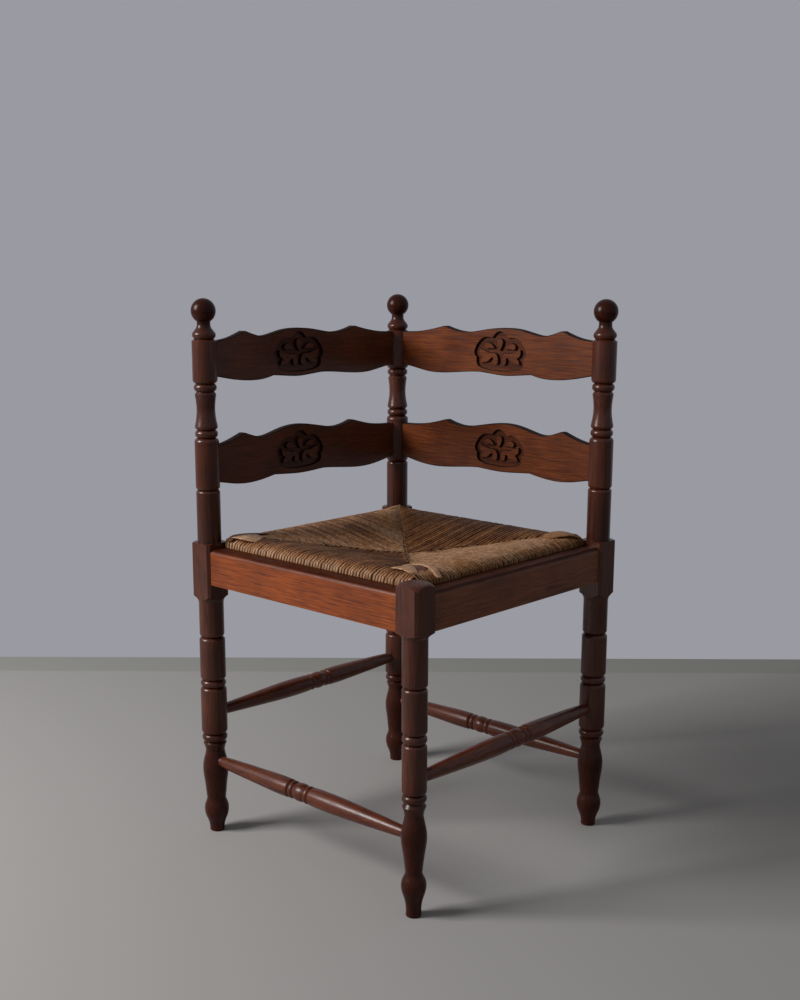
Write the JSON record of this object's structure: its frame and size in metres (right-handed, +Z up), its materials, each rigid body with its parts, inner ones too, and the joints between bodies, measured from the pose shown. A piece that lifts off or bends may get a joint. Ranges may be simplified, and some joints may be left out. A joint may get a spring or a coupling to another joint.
{
  "type": "corner chair",
  "caption": "Oak corner chair with turned posts, carved waved back slats on two sides, a lift-out rush seat and turned stretchers.",
  "frame": {"origin": "middle of the square of the four posts, on the floor", "axes": "+Z up; the front post is towards -X and -Y, the back post towards +X and +Y, and the slats run along the +X and +Y sides"},
  "size_m": [0.444, 0.444, 0.8011],
  "materials": {
    "oak": "semi-gloss stained and polished oak",
    "seat_frame_wood": "bare sawn hardwood under the rush",
    "rush": "twisted rush, satin"
  },
  "bodies": {
    "frame": {"front_post": "oak", "left_post": "oak", "right_post": "oak", "back_post": "oak", "seat_rail_front_left": "oak", "seat_rail_front_right": "oak", "seat_rail_back_left": "oak", "seat_rail_back_right": "oak", "stretcher_front_left": "oak", "stretcher_front_right": "oak", "stretcher_back_left": "oak", "stretcher_back_right": "oak", "upper_slat_left": "oak", "upper_slat_right": "oak", "lower_slat_left": "oak", "lower_slat_right": "oak"},
    "seat": {"rush_seat": "rush", "seat_frame_front_left": "seat_frame_wood", "seat_frame_front_right": "seat_frame_wood", "seat_frame_back_left": "seat_frame_wood", "seat_frame_back_right": "seat_frame_wood"}
  },
  "joints": [
    {"name": "seat_lift", "type": "slide", "parent": "frame", "child": "seat", "axis": [0, 0, 1], "range_m": [0, 0.4]}
  ]
}
